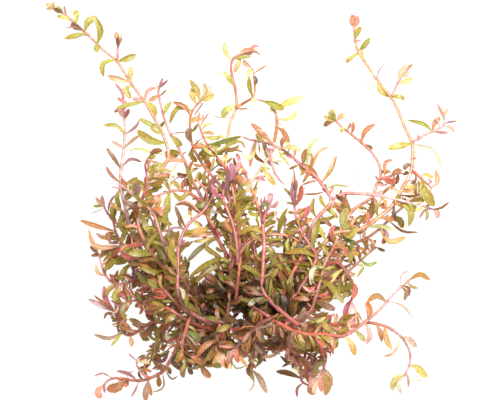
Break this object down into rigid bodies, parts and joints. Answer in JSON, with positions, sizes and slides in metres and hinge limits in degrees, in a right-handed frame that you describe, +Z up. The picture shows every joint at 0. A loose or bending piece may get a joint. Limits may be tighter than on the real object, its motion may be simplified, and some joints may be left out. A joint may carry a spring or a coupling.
{
  "type": "aquarium stem plant",
  "caption": "Loose bunch of rotala stems with small narrow opposite leaves, cut and lying on its side on the ground.",
  "frame": {"origin": "centre of the bunch's footprint, on the ground that it lies on", "axes": "+Z up from the ground; +Y from the dense heart towards the longest stem tips; +X to the right seen from above with +Y away"},
  "size_m": [0.205, 0.1994, 0.0626],
  "materials": {
    "blush_stem": "soft satin plant skin, slightly translucent",
    "coral_stem": "soft satin plant skin, slightly translucent",
    "magenta_stem": "soft satin plant skin, slightly translucent",
    "pink_stem": "soft satin plant skin, slightly translucent",
    "rose_stem": "soft satin plant skin, slightly translucent",
    "rust_stem": "soft satin plant skin, slightly translucent",
    "salmon_stem": "soft satin plant skin, slightly translucent",
    "straw_stem": "soft satin plant skin, slightly translucent"
  },
  "bodies": {
    "root": {"stem_far_left": "salmon_stem", "shoot_far_left_bud": "pink_stem", "stem_left_pink": "rose_stem", "shoot_yellow": "salmon_stem", "stem_red_mid_left": "coral_stem", "stem_magenta": "magenta_stem", "stem_pale_left": "blush_stem", "stem_left_inner": "salmon_stem", "shoot_left_hook": "magenta_stem", "stem_left_tip": "magenta_stem", "stem_left_spread": "salmon_stem", "stem_left_hook_low": "coral_stem", "stem_left_lilac": "coral_stem", "stem_bottom_left_long": "salmon_stem", "stem_orange_low": "salmon_stem", "shoot_low_left": "salmon_stem", "shoot_low_left_tip": "pink_stem", "stem_top_centre": "rose_stem", "shoot_arch_left": "rust_stem", "shoot_arch_right": "rust_stem", "stem_centre_long": "salmon_stem", "stem_centre_pale": "straw_stem", "stem_centre_salmon": "salmon_stem", "shoot_purple_tip": "magenta_stem", "stem_purple_cluster": "magenta_stem", "stem_right_arm": "blush_stem", "stem_top_right": "salmon_stem", "shoot_top_right_bud": "rose_stem", "shoot_right_side": "rose_stem", "stem_mid_right": "rose_stem", "shoot_mid_right": "coral_stem", "shoot_right_low": "rust_stem", "stem_right_lobe": "rust_stem", "stem_mid_far_right": "salmon_stem", "stem_right_bottom_long": "salmon_stem", "stem_right_bottom_droop": "coral_stem", "stem_twist": "rose_stem", "stem_red_core": "coral_stem", "stem_bottom_curl": "salmon_stem", "stem_bottom_down": "rose_stem", "stem_bottom_loop": "magenta_stem", "stem_bottom_right": "coral_stem", "stem_bottom_right_tuft": "coral_stem", "stem_mid_red": "coral_stem", "shoot_mid_left": "salmon_stem", "shoot_inner_curve": "salmon_stem", "stem_pink_bunch": "magenta_stem", "stem_cross": "coral_stem", "stem_left_back": "rust_stem", "stem_left_middle": "rust_stem", "stem_left_under": "coral_stem", "stem_mid_back": "rust_stem", "stem_mid_upper": "rust_stem", "stem_right_middle": "rust_stem", "stem_low_middle": "rust_stem", "stem_low_right": "rust_stem"}
  },
  "joints": []
}
